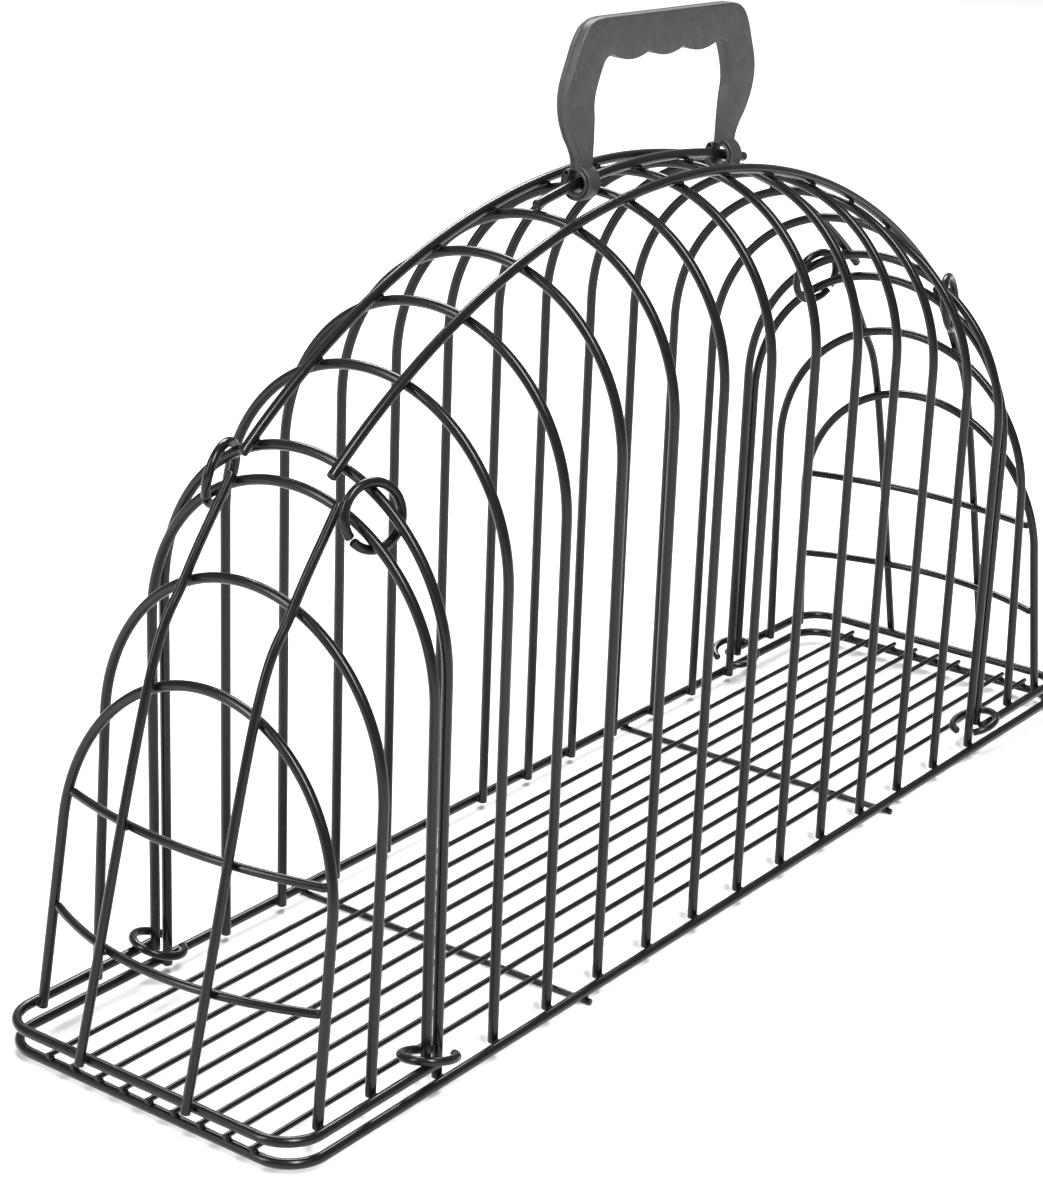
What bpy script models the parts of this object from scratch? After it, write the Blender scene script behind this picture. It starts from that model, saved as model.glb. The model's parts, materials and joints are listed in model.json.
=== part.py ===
"""Arched wire carry cage with two hinged end doors and a swinging carry handle.

Metres, +Z up. +X runs along the cage towards the rear door, the origin is on the ground
under the middle of the cage. Every welded contact keeps CLEAR between the two wires.
"""
import math
import bmesh
import bpy
from mathutils import Quaternion, Vector

# ---- driving dimensions ----------------------------------------------------------------
RAIL_LENGTH = 0.600          # base rod, centre line to centre line
RAIL_WIDTH = 0.150
RAIL_CORNER = 0.016
HOOP_COUNT = 13              # hoops of the main cage
HOOP_PITCH = 0.0354
CROWN_HEIGHT = 0.3134        # crown of the middle hoop, centre line above ground
END_HEIGHT = 0.2414          # crown of the two end hoops
HOOP_TOP = 0.073             # height of the rounded top of every main hoop

RAIL_WIRE = 0.0042           # coated wire diameters
HOOP_WIRE = 0.0042
RIDGE_WIRE = 0.0042
CROSSBAR_WIRE = 0.0036
CROSS_WIRE = 0.0030
FLOOR_WIRE = 0.0024
RING_WIRE = 0.0038
CLEAR = 0.0003               # gap kept at every weld
FREE = 0.0005                # gap kept where pieces move past each other

FLOOR_COUNT = 9
FLOOR_PITCH = 0.013
FLOOR_SHIFT = -0.0038        # the floor wires sit a little towards the right side
FLOOR_OVERHANG = 0.0022      # floor wire end past the end rod's centre line
CROSS_PLACE = 0.1225         # cross wires, either side of CROSS_MIDDLE
CROSS_MIDDLE = 0.0017        # middle of the pair, towards the rear door
CROSS_OVERHANG = 0.003       # cross wire end past the base rod's centre line
FOOT_DROP = 0.0008           # hoop foot below the base rod's centre line
RIDGE_PLACE = 0.0205         # ridge wires, either side of the middle
RIDGE_FRONT_END = 0.0032     # ridge wire past the front end hoop
RIDGE_REAR_END = 0.0090      # ridge wire past the rear end hoop

DOOR_GAP = 0.007             # outer door hoop to end hoop, centre lines
DOOR_UNDER = 0.0065          # outer door hoop's crown below the dome line carried on to it
DOOR_OVERHANG = 0.0012       # door base rod past the cage's base rod
DOOR_ROD_GAP = 0.0054        # between the door's and the cage's base rods, surface to surface
DOOR_ROD_END = 0.0025        # door base rod past the outer door hoop
MIDDLE_PLACE = 0.040         # feet of the two inner door hoops from the end hoop
MIDDLE_HEIGHT = 0.1970
MIDDLE_LEAN = 0.050          # run towards the cage per unit of height
MIDDLE_SPLAY = 0.001         # each leg moves in by this much at the shoulder
SMALL_PLACE = 0.0700
SMALL_HEIGHT = 0.1602
SMALL_LEAN = 0.133
SMALL_SPLAY = 0.0030
DOOR_HOOP_TOP = 0.071
BAR_FOOT_Y = 0.0272          # sloping door bars, at the base rod and at the outer hoop
BAR_TOP_Y = 0.0262
BAR_DROP = 0.0022            # sloping bar carried on straight past the door base rod
BAR_STEPS = 8                # points of a bar between two of the pieces it passes
CROSSBAR_LEVELS = {"lower": 0.0570, "upper": 0.1040}

HINGE_RING_ROOM = 0.00145    # inside a hinge ring, past the two hoops it holds
LOCK_RING_ROOM = 0.0068      # lock ring radius beyond half a hoop wire and half a ring wire
RING_PLACE = 0.0372          # hinge rings, either side of the middle
RING_TWIST = math.radians(20)   # turn of a hinge ring about the line between the two hoops
RING_SPLIT = 0.0016          # opening between a hinge ring's wire ends
RING_SPLIT_TURN = math.radians(25)   # where that opening sits round the ring
LOCK_SHIFT = 0.0018          # lock ring hangs out from the pair of legs
LOCK_TILT = math.radians(17) # and slopes down from where it rests on the door's base rod
LOCK_FALL = math.radians(36) # inwards from the cage's length, mirrored left and right

HANDLE_SPAN = 0.1062         # eye to eye, three hoop pitches
HANDLE_EYE_LENGTH = 0.008
HANDLE_EYE_BORE = 0.0042     # radius
HANDLE_EYE_WALL = 0.0032
HANDLE_THICK = 0.0064
HANDLE_FOOT = 0.0050         # blade's lowest edge, above the eyes' axis
HANDLE_HEIGHT = 0.0658       # above the eyes' axis
HANDLE_HALF = 0.0695         # widest half width
HANDLE_LOBE_PITCH = 0.0252   # three finger lobes under the grip
HANDLE_LOBE_DEPTH = 0.0028
HANDLE_CUSP = 0.0502         # cusps between the lobes, above the eyes' axis
HANDLE_LOBE_STEPS = 12
EYE_START = math.radians(-260)   # the hook's profile, from the hidden end round to the snap lip
EYE_END = math.radians(36)
EYE_STEPS = 20
HANDLE_ROD_REAR = 0.0800     # rear end of the handle rod from the middle

SIDES_RESOLUTION = 2         # eight sides on every wire
HOOP_STEPS = 16
FLAT_TURN = math.pi / 8      # turns the eight sides so that one lies flat

# ---- derived levels --------------------------------------------------------------------
CROSS_Z = CROSS_WIRE / 2 * math.cos(FLAT_TURN)
RAIL_Z = CROSS_Z + CROSS_WIRE / 2 + CLEAR + RAIL_WIRE / 2
FLOOR_Z = RAIL_Z + RAIL_WIRE / 2 + CLEAR + FLOOR_WIRE / 2
DOOR_ROD_Z = RAIL_Z + RAIL_WIRE + DOOR_ROD_GAP
LEG_Y = RAIL_WIDTH / 2 - RAIL_WIRE / 2 - CLEAR - HOOP_WIRE / 2
END_X = HOOP_PITCH * (HOOP_COUNT - 1) / 2
DOME_SAG = CROWN_HEIGHT - END_HEIGHT
DOME_RADIUS = (END_X ** 2 + DOME_SAG ** 2) / (2 * DOME_SAG)
DOOR_ROD_X = RAIL_LENGTH / 2 + DOOR_OVERHANG
OUTER_X = END_X + DOOR_GAP
OUTER_HEIGHT = CROWN_HEIGHT - DOME_RADIUS + math.sqrt(DOME_RADIUS ** 2 - OUTER_X ** 2) - DOOR_UNDER
HOOPS_APART = math.hypot(DOOR_GAP, END_HEIGHT - OUTER_HEIGHT)
HINGE_RING_RADIUS = HOOPS_APART / 2 + HINGE_RING_ROOM + (HOOP_WIRE + RING_WIRE) / 2
LOCK_RING_RADIUS = LOCK_RING_ROOM + (HOOP_WIRE + RING_WIRE) / 2


def crown(x):
    """Height of the dome line over x: one circular arc through the hoop crowns."""
    return CROWN_HEIGHT - DOME_RADIUS + math.sqrt(DOME_RADIUS ** 2 - x ** 2)


def top_drop(y, half, top):
    """How far an elliptical hoop top has fallen at y."""
    return top * (1 - math.sqrt(1 - (y / half) ** 2))


def arc(centre, start, end, radius, steps):
    """Points on a level arc, angles in radians from +X."""
    points = []
    for i in range(steps + 1):
        a = start + (end - start) * i / steps
        points.append(Vector((centre[0] + radius * math.cos(a), centre[1] + radius * math.sin(a), centre[2])))
    return points


def smooth_path(knots, steps):
    """Catmull-Rom curve through the knots."""
    ends = [knots[0] * 2 - knots[1]] + knots + [knots[-1] * 2 - knots[-2]]
    points = []
    for i in range(1, len(ends) - 2):
        p0, p1, p2, p3 = ends[i - 1:i + 3]
        for k in range(steps):
            t = k / steps
            points.append(0.5 * ((2 * p1) + (p2 - p0) * t + (2 * p0 - 5 * p1 + 4 * p2 - p3) * t * t
                                 + (3 * p1 - p0 - 3 * p2 + p3) * t ** 3))
    return points + [knots[-1]]


# ---- building --------------------------------------------------------------------------
def clear_scene():
    for item in list(bpy.data.objects):
        bpy.data.objects.remove(item, do_unlink=True)


def make_material(name, colour, roughness, metallic=0.0):
    material = bpy.data.materials.new(name)
    material.use_nodes = True
    shader = material.node_tree.nodes["Principled BSDF"]
    shader.inputs["Base Color"].default_value = (*colour, 1.0)
    shader.inputs["Roughness"].default_value = roughness
    shader.inputs["Metallic"].default_value = metallic
    return material


def coating(name):
    return make_material(name + "_coating", (0.012, 0.011, 0.011), 0.28)


def make_pivot(name, place):
    pivot = bpy.data.objects.new(name, None)
    pivot.location = place
    pivot.empty_display_size = 0.02
    bpy.context.collection.objects.link(pivot)
    return pivot


def add_object(name, data, pivot):
    item = bpy.data.objects.new(name, data)
    bpy.context.collection.objects.link(item)
    if pivot:
        item.parent = pivot
    return item


def make_wire(name, points, diameter, pivot=None, closed=False, twist="MINIMUM"):
    """Round wire along the points, which are world coordinates."""
    origin = Vector(pivot.location) if pivot else Vector((0, 0, 0))
    data = bpy.data.curves.new(name, "CURVE")
    data.dimensions = "3D"
    data.twist_mode = twist
    data.bevel_depth = diameter / 2
    data.bevel_resolution = SIDES_RESOLUTION
    data.use_fill_caps = True
    spline = data.splines.new("POLY")
    spline.points.add(len(points) - 1)
    for target, point in zip(spline.points, points):
        target.co = (*(point - origin), 1.0)
        target.tilt = FLAT_TURN
    spline.use_cyclic_u = closed
    spline.use_smooth = True
    data.materials.append(coating(name))
    return add_object(name, data, pivot)


def hoop_points(x, foot_z, half_foot, half_top, height, top, lean=0.0):
    """Straight legs and an elliptical top. lean moves x per metre of height above the feet."""
    shoulder = height - top
    points = [Vector((x, -half_foot, foot_z)), Vector((x + lean * (shoulder - foot_z), -half_top, shoulder))]
    for i in range(1, HOOP_STEPS):
        a = math.pi * i / HOOP_STEPS
        z = shoulder + top * math.sin(a)
        points.append(Vector((x + lean * (z - foot_z), -half_top * math.cos(a), z)))
    points.append(Vector((x + lean * (shoulder - foot_z), half_top, shoulder)))
    points.append(Vector((x, half_foot, foot_z)))
    return points


# ---- main cage -------------------------------------------------------------------------
def make_base_rod():
    half_x, half_y = RAIL_LENGTH / 2, RAIL_WIDTH / 2
    points = []
    for sx, sy, start in ((1, 1, 0.0), (-1, 1, 0.5), (-1, -1, 1.0), (1, -1, 1.5)):
        centre = (sx * (half_x - RAIL_CORNER), sy * (half_y - RAIL_CORNER), RAIL_Z)
        points += arc(centre, start * math.pi, (start + 0.5) * math.pi, RAIL_CORNER, 6)
    make_wire("base_rod", points, RAIL_WIRE, closed=True, twist="Z_UP")


def make_floor_wires():
    reach = RAIL_LENGTH / 2 + FLOOR_OVERHANG
    for i in range(FLOOR_COUNT):
        y = FLOOR_SHIFT + (i - (FLOOR_COUNT - 1) / 2) * FLOOR_PITCH
        points = [Vector((-reach, y, FLOOR_Z)), Vector((reach, y, FLOOR_Z))]
        make_wire(f"floor_wire_{i + 1:02d}", points, FLOOR_WIRE, twist="Z_UP")


def make_cross_wires():
    reach = RAIL_WIDTH / 2 + CROSS_OVERHANG
    for name, x in (("front", CROSS_MIDDLE - CROSS_PLACE), ("rear", CROSS_MIDDLE + CROSS_PLACE)):
        points = [Vector((x, -reach, CROSS_Z)), Vector((x, reach, CROSS_Z))]
        make_wire(f"cross_wire_{name}", points, CROSS_WIRE, twist="Z_UP")


def make_hoops():
    for i in range(HOOP_COUNT):
        x = -END_X + i * HOOP_PITCH
        points = hoop_points(x, RAIL_Z - FOOT_DROP, LEG_Y, LEG_Y, crown(x), HOOP_TOP)
        make_wire(f"hoop_{i + 1:02d}", points, HOOP_WIRE)


def on_top_of_hoops(x, y):
    """Centre of a lengthwise wire lying on the hoop tops at (x, y), one wire off along the common normal."""
    along = Vector((1, 0, -x / math.sqrt(DOME_RADIUS ** 2 - x ** 2)))
    slope = -HOOP_TOP * y / (LEG_Y ** 2 * math.sqrt(1 - (y / LEG_Y) ** 2))
    normal = along.cross(Vector((0, 1, slope))).normalized()
    seat = Vector((x, y, crown(x) - top_drop(y, LEG_Y, HOOP_TOP)))
    return seat + normal * (HOOP_WIRE / 2 + CLEAR + RIDGE_WIRE / 2)


def make_top_wires():
    first, last = -END_X - RIDGE_FRONT_END, END_X + RIDGE_REAR_END
    steps = 4 * HOOP_COUNT
    for name, y in (("right", -RIDGE_PLACE), ("left", RIDGE_PLACE)):
        points = [on_top_of_hoops(first + (last - first) * i / steps, y) for i in range(steps + 1)]
        make_wire(f"ridge_wire_{name}", points, RIDGE_WIRE)
    first = -2 * HOOP_PITCH
    points = [on_top_of_hoops(first + (HANDLE_ROD_REAR - first) * i / 12, 0.0) for i in range(13)]
    make_wire("handle_rod", points, RIDGE_WIRE)


# ---- doors: side is -1 at the front and +1 at the rear ----------------------------------
def hinge_point(side):
    """Centre of the outer door hoop at the hinge rings; the door turns about this line."""
    z = OUTER_HEIGHT - top_drop(RING_PLACE, LEG_Y, DOOR_HOOP_TOP)
    return Vector((side * OUTER_X, 0, z))


def make_door_rod(name, side, pivot):
    half_y = RAIL_WIDTH / 2
    inner = OUTER_X - DOOR_ROD_END
    right = arc((DOOR_ROD_X - RAIL_CORNER, -half_y + RAIL_CORNER, DOOR_ROD_Z),
                -math.pi / 2, 0, RAIL_CORNER, 6)
    left = arc((DOOR_ROD_X - RAIL_CORNER, half_y - RAIL_CORNER, DOOR_ROD_Z),
               0, math.pi / 2, RAIL_CORNER, 6)
    points = [Vector((inner, -half_y, DOOR_ROD_Z))] + right + left + [Vector((inner, half_y, DOOR_ROD_Z))]
    points = [Vector((side * p.x, p.y, p.z)) for p in points]
    make_wire(f"{name}_base_rod", points, RAIL_WIRE, pivot, twist="Z_UP")


def door_hoops():
    """Foot x, half width at the feet and at the shoulders, crown height and lean of each door hoop."""
    return {
        "outer": (OUTER_X, LEG_Y, LEG_Y, OUTER_HEIGHT, 0.0),
        "middle": (END_X + MIDDLE_PLACE, LEG_Y, LEG_Y - MIDDLE_SPLAY, MIDDLE_HEIGHT, MIDDLE_LEAN),
        "small": (END_X + SMALL_PLACE, LEG_Y, LEG_Y - SMALL_SPLAY, SMALL_HEIGHT, SMALL_LEAN),
    }


def make_door_hoops(name, side, pivot):
    foot = DOOR_ROD_Z - FOOT_DROP
    for size, (x, half_foot, half_top, height, lean) in door_hoops().items():
        points = hoop_points(side * x, foot, half_foot, half_top, height, DOOR_HOOP_TOP, -side * lean)
        make_wire(f"{name}_{size}_hoop", points, HOOP_WIRE, pivot)


def bar_knots(y_sign):
    """Where a sloping bar passes the door base rod and the three hoops, on their outside, for the rear door."""
    top_y = y_sign * BAR_TOP_Y
    places = [Vector((DOOR_ROD_X, y_sign * BAR_FOOT_Y, DOOR_ROD_Z))]
    offsets = [(RAIL_WIRE + HOOP_WIRE) / 2 + CLEAR] + 3 * [HOOP_WIRE + CLEAR]
    for size in ("small", "middle", "outer"):
        x, half_foot, half_top, height, lean = door_hoops()[size]
        z = height - top_drop(top_y, half_top, DOOR_HOOP_TOP)
        places.append(Vector((x - lean * (z - DOOR_ROD_Z), top_y, z)))
    knots = []
    for i, (place, offset) in enumerate(zip(places, offsets)):
        along = places[min(i + 1, 3)] - places[max(i - 1, 0)]
        knots.append(place + Vector((along.z, 0, -along.x)).normalized() * offset)
    return knots


def bar_points(side, y_sign):
    """A smooth line through the knots, carried on straight past both ends."""
    points = smooth_path(bar_knots(y_sign), BAR_STEPS)
    foot = points[0] + (points[0] - points[1]).normalized() * BAR_DROP
    tip = points[-1] + (points[-1] - points[-2]).normalized() * HOOP_WIRE / 2
    return [Vector((side * p.x, p.y, p.z)) for p in [foot] + points + [tip]]


def make_door_bars(name, side, pivot):
    for hand, y_sign in (("right", -1), ("left", 1)):
        make_wire(f"{name}_bar_{hand}", bar_points(side, y_sign), HOOP_WIRE, pivot)


def bar_at(z):
    """Where a sloping bar is at height z, and the cosine of its slope there."""
    points = bar_points(1, 1)
    for lower, upper in zip(points, points[1:]):
        if lower.z <= z <= upper.z:
            x = lower.x + (upper.x - lower.x) * (z - lower.z) / (upper.z - lower.z)
            return x, (upper.z - lower.z) / math.hypot(upper.x - lower.x, upper.z - lower.z)
    raise ValueError("crossbar level is off the sloping bars")


def make_crossbars(name, side, pivot):
    """Bowed level wires inside the two bars, their ends against the inner faces of the small hoop's legs."""
    x, half_foot, half_top, height, lean = door_hoops()["small"]
    foot = DOOR_ROD_Z - FOOT_DROP
    shoulder = height - DOOR_HOOP_TOP
    for level, z in CROSSBAR_LEVELS.items():
        share = min((z - foot) / (shoulder - foot), 1.0)
        half = half_foot + (half_top - half_foot) * share
        if z > shoulder:
            rise = (z - shoulder) / DOOR_HOOP_TOP
            slope = half_top / DOOR_HOOP_TOP * rise / math.sqrt(1 - rise ** 2)
            half = half_top * math.sqrt(1 - rise ** 2) - slope * CROSSBAR_WIRE / 2
        half -= HOOP_WIRE / 2 + CLEAR
        end_x = x - lean * (z - foot)
        bar_x, upright = bar_at(z)
        touch_x = bar_x - (HOOP_WIRE / 2 + CLEAR + CROSSBAR_WIRE / 2) / upright
        bow = (touch_x - end_x) / (1 - (BAR_TOP_Y / half) ** 2)
        half -= math.sin(math.atan(2 * bow / half)) * CROSSBAR_WIRE / 2
        bow = (touch_x - end_x) / (1 - (BAR_TOP_Y / half) ** 2)
        points = []
        for i in range(13):
            t = -1 + 2 * i / 12
            points.append(Vector((side * (end_x + bow * (1 - t * t)), half * t, z)))
        make_wire(f"{name}_crossbar_{level}", points, CROSSBAR_WIRE, pivot, twist="Z_UP")


# ---- rings -----------------------------------------------------------------------------
def ring_points(centre, radius, u, v, opening, steps):
    """Open circle in the plane of u and v, its opening centred on +u."""
    points = []
    for i in range(steps + 1):
        a = opening / 2 + (2 * math.pi - opening) * i / steps
        points.append(centre + radius * (math.cos(a) * u + math.sin(a) * v))
    return points


def make_hinge_rings(name, side):
    """Each ring holds the end hoop and the outer door hoop and is twisted towards the door."""
    for hand, y_sign in (("right", -1), ("left", 1)):
        y = y_sign * RING_PLACE
        hoop = Vector((side * END_X, y, END_HEIGHT - top_drop(y, LEG_Y, HOOP_TOP)))
        door = hinge_point(side) + Vector((0, y, 0))
        across = (hoop - door).normalized()
        square = across.cross(Vector((0, -side, 0)))
        v = square * math.cos(RING_TWIST) - Vector((0, y_sign, 0)) * math.sin(RING_TWIST)
        opening = RING_SPLIT / HINGE_RING_RADIUS
        u = v * math.sin(RING_SPLIT_TURN) - across * math.cos(RING_SPLIT_TURN)
        w = v * math.cos(RING_SPLIT_TURN) + across * math.sin(RING_SPLIT_TURN)
        points = ring_points((hoop + door) / 2, HINGE_RING_RADIUS, u, w, opening, 20)
        make_wire(f"{name}_hinge_ring_{hand}", points, RING_WIRE)


def lock_ring_place(side, y_sign):
    """Centre of a lock ring and the level direction it slopes down in. It rests on the door's base rod."""
    fall = Vector((-side * math.cos(LOCK_FALL), -y_sign * math.sin(LOCK_FALL), 0))
    over_rod = y_sign * (RAIL_WIDTH / 2 - LEG_Y)
    crossing = Vector((side * math.sqrt(LOCK_RING_RADIUS ** 2 - over_rod ** 2), over_rod, 0))
    z = DOOR_ROD_Z + (RAIL_WIRE + RING_WIRE) / 2 + FREE + crossing.dot(fall) * math.tan(LOCK_TILT)
    return Vector((side * (END_X + DOOR_GAP / 2 + LOCK_SHIFT), y_sign * LEG_Y, z)), fall


def make_lock_rings(name, side):
    """C rings on the door's leg. The mouth passes the cage's leg when the door opens."""
    mouth = HOOP_WIRE + 2 * FREE + RING_WIRE
    opening = 2 * math.asin(mouth / 2 / LOCK_RING_RADIUS)
    for hand, y_sign in (("right", -1), ("left", 1)):
        centre, fall = lock_ring_place(side, y_sign)
        pivot = make_pivot(f"{name}_lock_{hand}_slide", centre)
        tilt = Quaternion(Vector((0, 0, 1)).cross(fall), LOCK_TILT)
        u = tilt @ Vector((-side, 0, 0))
        v = tilt @ Vector((0, -side, 0))
        points = ring_points(centre, LOCK_RING_RADIUS, u, v, opening, 18)
        make_wire(f"{name}_lock_ring_{hand}", points, RING_WIRE, pivot)


def make_door(name, side):
    pivot = make_pivot(f"{name}_hinge_line", hinge_point(side))
    make_door_rod(name, side, pivot)
    make_door_hoops(name, side, pivot)
    make_door_bars(name, side, pivot)
    make_crossbars(name, side, pivot)
    make_hinge_rings(name, side)
    make_lock_rings(name, side)


# ---- handle ----------------------------------------------------------------------------
def eye_places():
    """The front eye stands against hoop 6 and the rear eye against hoop 9, both on their front side."""
    beside = HOOP_WIRE / 2 + FREE + HANDLE_EYE_LENGTH / 2
    front = on_top_of_hoops(-HOOP_PITCH - beside, 0.0)
    rear = on_top_of_hoops(-HOOP_PITCH - beside + HANDLE_SPAN, 0.0)
    return front, rear


def handle_outline():
    """Right half of the blade's outer edge, u from the middle and w above the eyes' axis.

    Foot and neck, the swell to the widest point, then the shoulder running in to the flat top.
    """
    half, top = HANDLE_HALF, HANDLE_HEIGHT
    neck = HANDLE_SPAN / 2 + HANDLE_EYE_LENGTH / 2
    foot = [(neck, HANDLE_FOOT), (neck + 0.0012, 0.0100)]
    swell = [(half - 0.0052, 0.0190), (half - 0.0008, 0.0280), (half, 0.0345), (half - 0.0012, 0.0410)]
    shoulder = [(half - 0.0062, 0.0550), (half - 0.0105, 0.0620), (half - 0.0160, top - 0.0015)]
    return foot + swell + shoulder + [(half - 0.0230, top)]


def handle_lobes():
    """Underside of the grip from its outer cusp to the middle: a row of half sine waves."""
    outer_cusp = 1.5 * HANDLE_LOBE_PITCH
    lobes = [(outer_cusp, HANDLE_CUSP)]
    for i in range(1, HANDLE_LOBE_STEPS):
        u = outer_cusp * (1 - i / HANDLE_LOBE_STEPS)
        phase = (u / HANDLE_LOBE_PITCH + 0.5) % 1.0
        lobes.append((u, HANDLE_CUSP - HANDLE_LOBE_DEPTH * math.sin(math.pi * phase)))
    return lobes + [(0.0, HANDLE_CUSP - HANDLE_LOBE_DEPTH)]


def handle_inner():
    """Right half of the hand opening: up the leg from the eye, round its top corner, along the lobes."""
    neck = HANDLE_SPAN / 2 - HANDLE_EYE_LENGTH / 2
    leg = [(neck, HANDLE_FOOT), (neck, 0.0150), (neck + 0.0004, 0.0255), (neck + 0.0012, 0.0310)]
    corner = [(neck - 0.0022, 0.0430), (neck - 0.0050, 0.0490), (neck - 0.0078, HANDLE_CUSP + 0.0005)]
    return leg + corner + handle_lobes()


def extrude_outline(name, outline, thickness):
    """Flat blade standing in the XZ plane, centred on y = 0."""
    mesh = bpy.data.meshes.new(name)
    shape = bmesh.new()
    face = shape.faces.new([shape.verts.new((u, -thickness / 2, w)) for u, w in outline])
    grown = bmesh.ops.extrude_face_region(shape, geom=[face])
    moved = [g for g in grown["geom"] if isinstance(g, bmesh.types.BMVert)]
    bmesh.ops.translate(shape, verts=moved, vec=(0, thickness, 0))
    bmesh.ops.recalc_face_normals(shape, faces=shape.faces)
    shape.to_mesh(mesh)
    shape.free()
    return mesh


def eye_outline():
    """Hook profile in the YZ plane: down the near side, round the rod and up to a snap lip."""
    inner, outer = HANDLE_EYE_BORE, HANDLE_EYE_BORE + HANDLE_EYE_WALL
    ring = []
    for i in range(EYE_STEPS + 1):
        a = EYE_START + (EYE_END - EYE_START) * i / EYE_STEPS
        ring.append((inner * math.cos(a), inner * math.sin(a)))
    for i in range(EYE_STEPS + 1):
        a = EYE_END + (EYE_START - EYE_END) * i / EYE_STEPS
        ring.append((outer * math.cos(a), outer * math.sin(a)))
    return ring


def eye_mesh(u):
    """One hook, carried along the handle's length about the place u."""
    mesh = bpy.data.meshes.new("eye")
    shape = bmesh.new()
    face = shape.faces.new([shape.verts.new((u - HANDLE_EYE_LENGTH / 2, y, z)) for y, z in eye_outline()])
    grown = bmesh.ops.extrude_face_region(shape, geom=[face])
    moved = [g for g in grown["geom"] if isinstance(g, bmesh.types.BMVert)]
    bmesh.ops.translate(shape, verts=moved, vec=(HANDLE_EYE_LENGTH, 0, 0))
    bmesh.ops.recalc_face_normals(shape, faces=shape.faces)
    shape.to_mesh(mesh)
    shape.free()
    return mesh


def make_handle():
    front, rear = eye_places()
    pivot = make_pivot("handle_axis", (front + rear) / 2)
    pivot.rotation_euler = (0, math.atan2(front.z - rear.z, rear.x - front.x), 0)
    right = handle_outline()
    inner = handle_inner()
    outline = right + [(-u, w) for u, w in reversed(right)]
    outline += [(-u, w) for u, w in inner] + list(reversed(inner))[1:]
    handle = add_object("carry_handle", extrude_outline("carry_handle", outline, HANDLE_THICK), pivot)
    handle.data.materials.append(make_material("handle_plastic", (0.045, 0.045, 0.048), 0.55))
    for u in (-HANDLE_SPAN / 2, HANDLE_SPAN / 2):
        tool = add_object("eye_shape", eye_mesh(u), pivot)
        tool.hide_render = True
        tool.display_type = "WIRE"
        join = handle.modifiers.new("eye", "BOOLEAN")
        join.operation = "UNION"
        join.solver = "EXACT"
        join.object = tool


def main():
    clear_scene()
    make_base_rod()
    make_floor_wires()
    make_cross_wires()
    make_hoops()
    make_top_wires()
    make_door("front_door", -1)
    make_door("rear_door", 1)
    make_handle()


main()
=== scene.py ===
import json
import math

import bpy
import numpy as np
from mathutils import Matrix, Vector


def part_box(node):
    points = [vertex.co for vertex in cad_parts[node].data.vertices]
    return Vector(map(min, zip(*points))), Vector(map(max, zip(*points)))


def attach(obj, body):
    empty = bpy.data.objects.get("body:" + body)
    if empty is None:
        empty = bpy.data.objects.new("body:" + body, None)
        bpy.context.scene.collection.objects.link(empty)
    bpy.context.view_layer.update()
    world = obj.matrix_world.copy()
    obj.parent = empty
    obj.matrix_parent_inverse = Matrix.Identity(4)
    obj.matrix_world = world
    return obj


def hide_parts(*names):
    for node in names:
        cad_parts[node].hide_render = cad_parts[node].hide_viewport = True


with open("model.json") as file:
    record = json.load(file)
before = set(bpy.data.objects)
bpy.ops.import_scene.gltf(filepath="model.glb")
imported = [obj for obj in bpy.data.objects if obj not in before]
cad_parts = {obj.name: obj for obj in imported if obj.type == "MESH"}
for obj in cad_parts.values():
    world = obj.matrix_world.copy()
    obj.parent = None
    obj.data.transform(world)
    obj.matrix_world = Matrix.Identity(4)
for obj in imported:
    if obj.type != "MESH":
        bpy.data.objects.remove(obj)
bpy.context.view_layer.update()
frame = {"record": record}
mm = 0.001
flatShare = math.cos(math.pi / 8)      # the CAD wires have eight sides; across the flats they are this much thinner
print("frame loaded")


# small tools
def toLinear(hexColour):
    # sRGB hex to linear: the lower part is divided by 12.92, the rest is a 2.4 power
    channels = np.array([int(hexColour[i:i + 2], 16) for i in (1, 3, 5)]) / 255
    linear = np.where(channels <= 0.04045, channels / 12.92, ((channels + 0.055) / 1.055) ** 2.4)
    return (*linear.tolist(), 1.0)


def unit(vectors):
    return vectors / np.linalg.norm(vectors, axis=-1, keepdims=True)


def corners(node):
    low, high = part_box(node)
    return np.array(low), np.array(high)


def addNode(tree, kind, settings=None, **links):
    # settings are the node's own properties; links are values or other nodes' outputs for its inputs
    node = tree.nodes.new(kind)
    for name, value in (settings or {}).items():
        setattr(node, name, value)
    for name, value in links.items():
        key = int(name[1:]) if name[0] == "n" and name[1:].isdigit() else name.replace("_", " ")
        if isinstance(value, bpy.types.NodeSocket):
            tree.links.new(value, node.inputs[key])
        else:
            node.inputs[key].default_value = value
    return node


def evenly(points, spacing, closed=False):
    # the same line with its points an even distance apart
    if closed:
        points = np.vstack([points, points[:1]])
    run = np.concatenate([[0], np.cumsum(np.linalg.norm(np.diff(points, axis=0), axis=1))])
    count = max(int(run[-1] / spacing), 3)
    at = np.linspace(0, run[-1], count + 1)
    even = np.stack([np.interp(at, run, points[:, k]) for k in range(3)], axis=1)
    return even[:-1] if closed else even


def throughKnots(knots, steps):
    # Catmull-Rom: on each span a cubic through its two knots, with the slope its neighbours give
    knots = np.array(knots, float)
    ends = np.vstack([2 * knots[0] - knots[1], knots, 2 * knots[-1] - knots[-2]])
    p0, p1, p2, p3 = (ends[k:len(ends) - 3 + k, None, :] for k in range(4))
    t = np.linspace(0, 1, steps, endpoint=False)[None, :, None]
    curve = 0.5 * (2 * p1 + (p2 - p0) * t + (2 * p0 - 5 * p1 + 4 * p2 - p3) * t ** 2
                   + (3 * p1 - p0 - 3 * p2 + p3) * t ** 3)
    return np.vstack([curve.reshape(-1, knots.shape[1]), knots[-1:]])


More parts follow.
